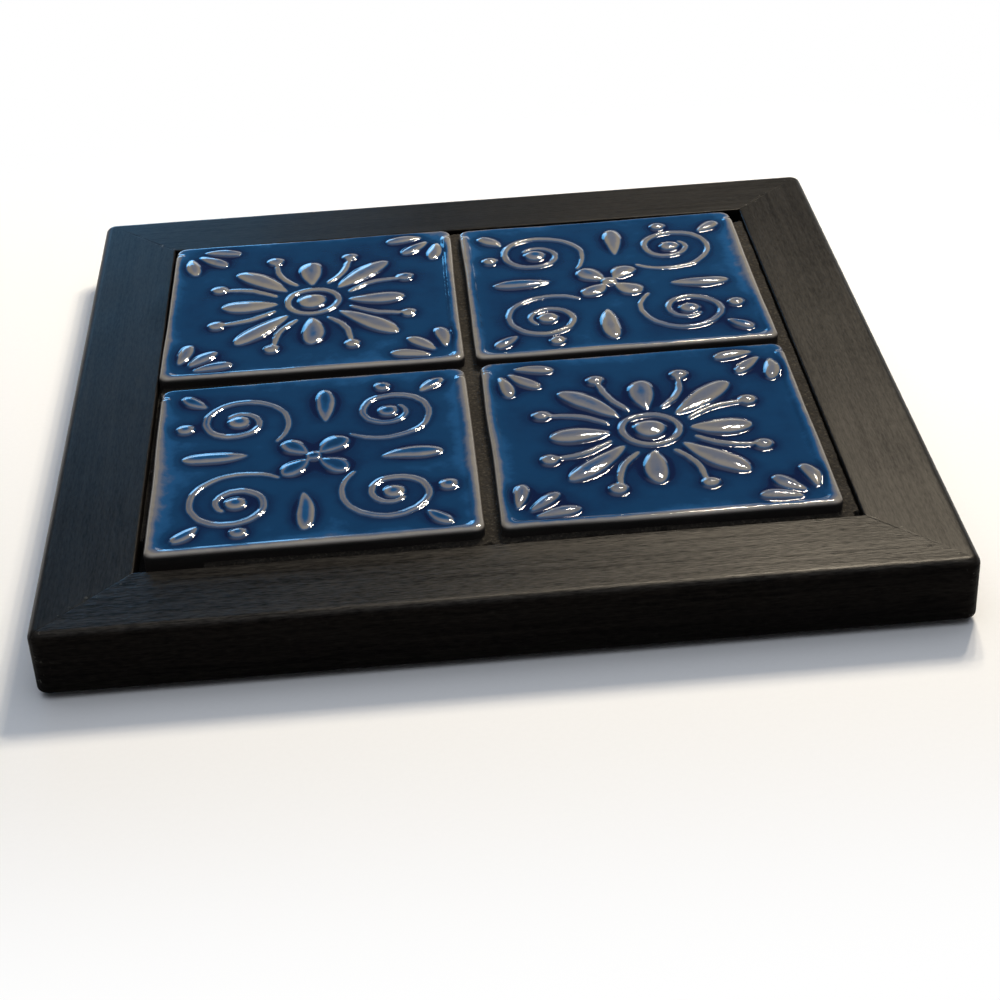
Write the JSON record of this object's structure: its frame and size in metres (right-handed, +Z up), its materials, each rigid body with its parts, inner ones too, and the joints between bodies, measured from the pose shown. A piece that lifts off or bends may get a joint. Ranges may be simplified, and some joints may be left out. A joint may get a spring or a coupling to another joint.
{
  "type": "trivet",
  "caption": "Square tabletop trivet: a mitred black wood frame round glazed relief tiles set in dark grout on a base panel.",
  "frame": {"origin": "centre of the bottom of the bounding box, on the surface that the felt pads stand on", "axes": "+Z up through the tiles, -Y towards the front rail, +X towards the right rail"},
  "size_m": [0.202, 0.202, 0.0195],
  "materials": {
    "ebonised_wood": "satin black stain over open grain",
    "panel_wood": "bare plywood",
    "blue_glaze": "gloss, pooled dark in the field and thin and pale on the relief",
    "tile_adhesive": "matt",
    "dark_grout": "sanded, matt",
    "steel": "plain",
    "felt": "pressed felt"
  },
  "bodies": {
    "root": {"rail_front": "ebonised_wood", "rail_back": "ebonised_wood", "rail_left": "ebonised_wood", "rail_right": "ebonised_wood", "base_panel": "panel_wood", "tile_back_left": "blue_glaze", "tile_back_right": "blue_glaze", "tile_front_left": "blue_glaze", "tile_front_right": "blue_glaze", "adhesive_back_left": "tile_adhesive", "adhesive_back_right": "tile_adhesive", "adhesive_front_left": "tile_adhesive", "adhesive_front_right": "tile_adhesive", "grout": "dark_grout", "mitre_nails": "steel", "panel_pins": "steel", "pad_back_left": "felt", "pad_back_right": "felt", "pad_front_left": "felt", "pad_front_right": "felt"}
  },
  "joints": []
}
